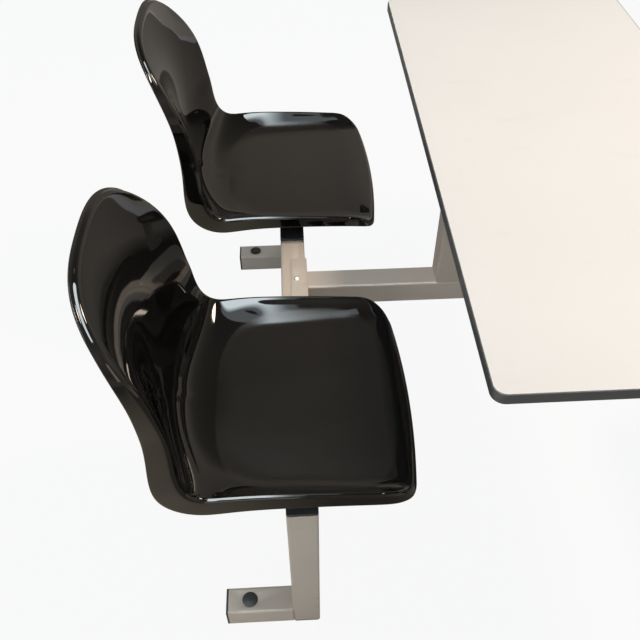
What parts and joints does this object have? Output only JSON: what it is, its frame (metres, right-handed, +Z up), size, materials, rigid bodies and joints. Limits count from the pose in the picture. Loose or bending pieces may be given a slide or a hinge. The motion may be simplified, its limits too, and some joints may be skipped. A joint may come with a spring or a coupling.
{
  "type": "table with attached swivel seats",
  "caption": "Canteen table on a square-tube frame with swivelling one-piece shell seats carried on beams along both long sides, bolted to the floor through its feet.",
  "frame": {"origin": "on the floor, under the middle of the table top", "axes": "+X across the table towards the right-hand seats, +Y along the table away from the viewer, +Z up"},
  "size_m": [1.5338, 1.11, 0.8072],
  "materials": {
    "laminate": "satin",
    "backing": "matte",
    "core": "raw",
    "edge": "satin",
    "frame": "satin powder coat",
    "plated": "bright",
    "plug": "matte",
    "swivel": "satin",
    "bearing": "satin",
    "shell": "gloss"
  },
  "bodies": {
    "frame": {"top_laminate": "laminate", "backing_laminate": "backing", "table_board": "core", "edge_band": "edge", "bearer_left": "frame", "bearer_right": "frame", "tie_front": "frame", "tie_back": "frame", "cross_rail": "frame", "table_post_left": "frame", "table_post_right": "frame", "rail_bracket_left": "frame", "rail_bracket_right": "frame", "seat_beam_left": "frame", "seat_beam_right": "frame", "leg_front_left": "frame", "leg_front_right": "frame", "leg_back_left": "frame", "leg_back_right": "frame", "foot_front_left": "frame", "foot_front_right": "frame", "foot_back_left": "frame", "foot_back_right": "frame", "top_screws": "plated", "bracket_bolts": "plated", "bracket_nuts": "plated", "base_bolts": "plated", "base_nuts": "plated", "retaining_washers": "plated", "retaining_nuts": "plated", "foot_plugs": "plug", "floor_hole_caps": "plug", "swivel_base_front_left": "swivel", "swivel_base_front_right": "swivel", "swivel_base_back_left": "swivel", "swivel_base_back_right": "swivel", "pivot_posts": "swivel", "stop_pins": "swivel", "thrust_rings": "bearing"},
    "seat_front_left": {"seat_shell_front_left": "shell", "swivel_plate_front_left": "swivel", "pivot_bush_front_left": "bearing", "seat_bolts_front_left": "plated"},
    "seat_front_right": {"seat_shell_front_right": "shell", "swivel_plate_front_right": "swivel", "pivot_bush_front_right": "bearing", "seat_bolts_front_right": "plated"},
    "seat_back_left": {"seat_shell_back_left": "shell", "swivel_plate_back_left": "swivel", "pivot_bush_back_left": "bearing", "seat_bolts_back_left": "plated"},
    "seat_back_right": {"seat_shell_back_right": "shell", "swivel_plate_back_right": "swivel", "pivot_bush_back_right": "bearing", "seat_bolts_back_right": "plated"}
  },
  "joints": [
    {"name": "seat_front_left_swivel", "type": "hinge", "parent": "frame", "child": "seat_front_left", "pos_m": [-0.487, -0.322, 0.415], "axis": [0, 0, 1], "range_deg": [-90, 90]},
    {"name": "seat_front_right_swivel", "type": "hinge", "parent": "frame", "child": "seat_front_right", "pos_m": [0.487, -0.322, 0.415], "axis": [0, 0, 1], "range_deg": [-90, 90]},
    {"name": "seat_back_left_swivel", "type": "hinge", "parent": "frame", "child": "seat_back_left", "pos_m": [-0.487, 0.322, 0.415], "axis": [0, 0, 1], "range_deg": [-90, 90]},
    {"name": "seat_back_right_swivel", "type": "hinge", "parent": "frame", "child": "seat_back_right", "pos_m": [0.487, 0.322, 0.415], "axis": [0, 0, 1], "range_deg": [-90, 90]}
  ]
}
